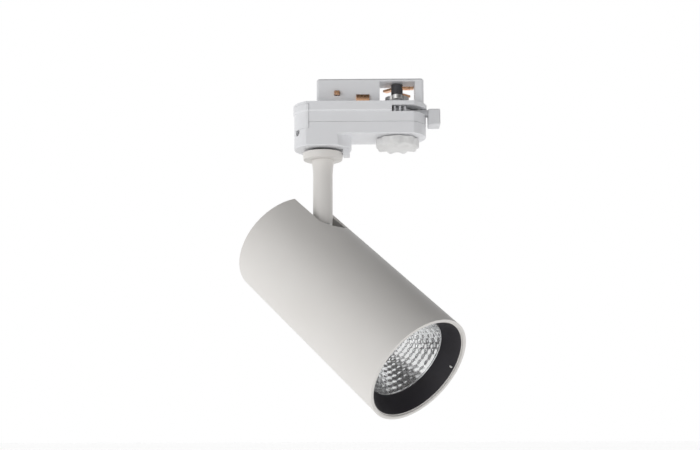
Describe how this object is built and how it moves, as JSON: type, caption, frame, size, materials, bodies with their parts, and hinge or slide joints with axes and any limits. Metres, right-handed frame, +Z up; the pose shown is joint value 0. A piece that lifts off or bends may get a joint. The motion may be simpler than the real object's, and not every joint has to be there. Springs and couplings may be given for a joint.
{
  "type": "track spotlight",
  "caption": "Round spotlight head on a thin stem under a track adapter with a phase selector knob and a locking lever; the head pans and tilts.",
  "frame": {"origin": "on the stem's pan axis, in the adapter's seat plane, where it meets the underside of the track", "axes": "+X along the track from the stem towards the selector knob and locking lever, +Z up into the track, -Y the side the lamp points out to at rest"},
  "size_m": [0.149, 0.1422, 0.2298],
  "materials": {
    "coated_metal": "fine matt powder coat, warm white",
    "adapter_plastic": "moulded plastic, cool white, satin",
    "lever_plastic": "moulded plastic, light grey white",
    "knob_plastic": "moulded plastic, white, satin",
    "baffle_black": "black, matt",
    "clip_white": "white",
    "reflector_silver": "faceted, bright metallised",
    "sink_aluminium": "die-cast aluminium, plain",
    "zinc_steel": "zinc-plated steel",
    "black_steel": "blackened steel",
    "contact_copper": "copper alloy contact strip",
    "dark_plastic": "glass-filled plastic, dark grey",
    "terminal_plastic": "natural plastic",
    "wire_insulation": "insulated stranded wire",
    "led_phosphor": "yellow phosphor",
    "holder_plastic": "white plastic",
    "driver_plastic": "white plastic case",
    "board_green": "circuit board, green",
    "component_plastic": "dark moulded components"
  },
  "bodies": {
    "adapter": {"adapter_base": "adapter_plastic", "adapter_cover": "adapter_plastic", "end_cap": "adapter_plastic", "shell_screws": "zinc_steel", "track_neck": "adapter_plastic", "neck_screws": "zinc_steel", "neutral_contact": "contact_copper", "earth_contacts": "contact_copper", "terminal_block": "terminal_plastic", "adapter_wires": "wire_insulation", "detent_spring": "zinc_steel", "swivel_bush": "dark_plastic", "grub_screw": "black_steel"},
    "lever": {"locking_lever": "lever_plastic", "lock_cam": "zinc_steel"},
    "selector": {"selector_knob": "knob_plastic", "selector_shaft": "dark_plastic", "phase_contacts": "contact_copper"},
    "stem": {"swivel_collar": "coated_metal", "stop_washer": "zinc_steel", "swivel_nut": "zinc_steel", "stem_tube": "coated_metal", "stem_knuckle": "zinc_steel", "supply_wires": "wire_insulation"},
    "head": {"hinge_bracket": "zinc_steel", "hinge_axle": "zinc_steel", "axle_nut": "zinc_steel", "friction_washers": "zinc_steel", "housing_tube": "coated_metal", "rear_cap": "coated_metal", "cap_screws": "zinc_steel", "trim_ring": "coated_metal", "baffle": "baffle_black", "baffle_clips": "clip_white", "reflector": "reflector_silver", "cob_board": "sink_aluminium", "led_emitter": "led_phosphor", "cob_holder": "holder_plastic", "holder_screws": "zinc_steel", "heat_sink": "sink_aluminium", "bracket_screws": "zinc_steel", "led_leads": "wire_insulation", "driver_case": "driver_plastic", "driver_lid": "driver_plastic", "driver_board": "board_green", "driver_components": "component_plastic"}
  },
  "joints": [
    {"name": "lever_swing", "type": "hinge", "parent": "adapter", "child": "lever", "pos_m": [0.051, 0, -0.005], "axis": [0, 0, 1], "range_deg": [-90, 0]},
    {"name": "selector_turn", "type": "hinge", "parent": "adapter", "child": "selector", "pos_m": [0.051, 0, -0.02], "axis": [0, 0, 1], "range_deg": [0, 135]},
    {"name": "pan", "type": "hinge", "parent": "adapter", "child": "stem", "pos_m": [0, 0, -0.03], "axis": [0, 0, 1], "range_deg": [-127.5, 210.5]},
    {"name": "tilt", "type": "hinge", "parent": "stem", "child": "head", "pos_m": [0, 0, -0.0954], "axis": [0.6626, 0.749, 0], "range_deg": [-37.3, 52.7]}
  ]
}
